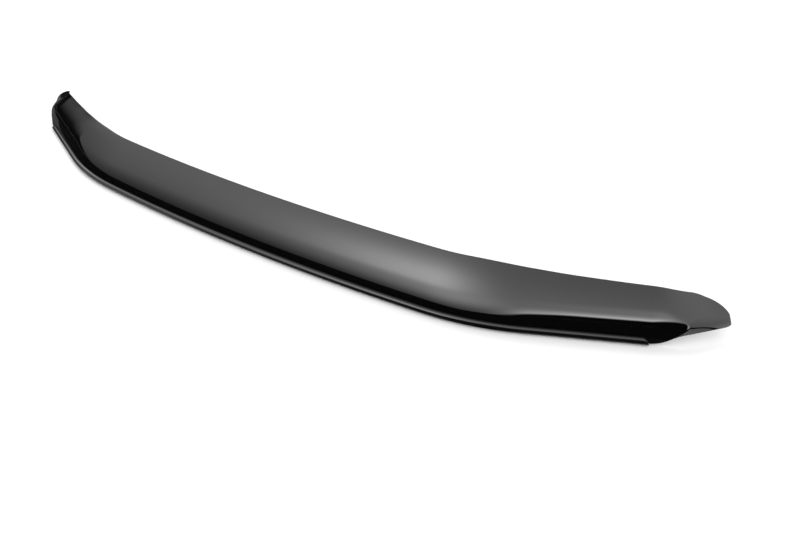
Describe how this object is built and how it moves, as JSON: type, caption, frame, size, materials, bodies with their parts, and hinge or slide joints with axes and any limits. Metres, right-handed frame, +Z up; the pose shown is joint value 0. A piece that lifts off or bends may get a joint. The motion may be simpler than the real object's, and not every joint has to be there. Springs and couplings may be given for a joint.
{
  "type": "hood bug deflector",
  "caption": "Wide black bug deflector for a vehicle's hood: a leaning gloss face over a steep wall, with a rounded lip, swept wings, end fins and a screw flange.",
  "frame": {"origin": "middle of the first pair of screw holes, on the underside of the flange", "axes": "+X across the vehicle along the longest side, +Y to the rear of the vehicle, +Z up, the direction in which the screws come out of the flange"},
  "size_m": [1.4514, 0.2142, 0.0741],
  "materials": {
    "black_acrylic": "polished black acrylic, smooth and glossy on every side"
  },
  "bodies": {
    "root": {"deflector_shield": "black_acrylic"}
  },
  "joints": []
}
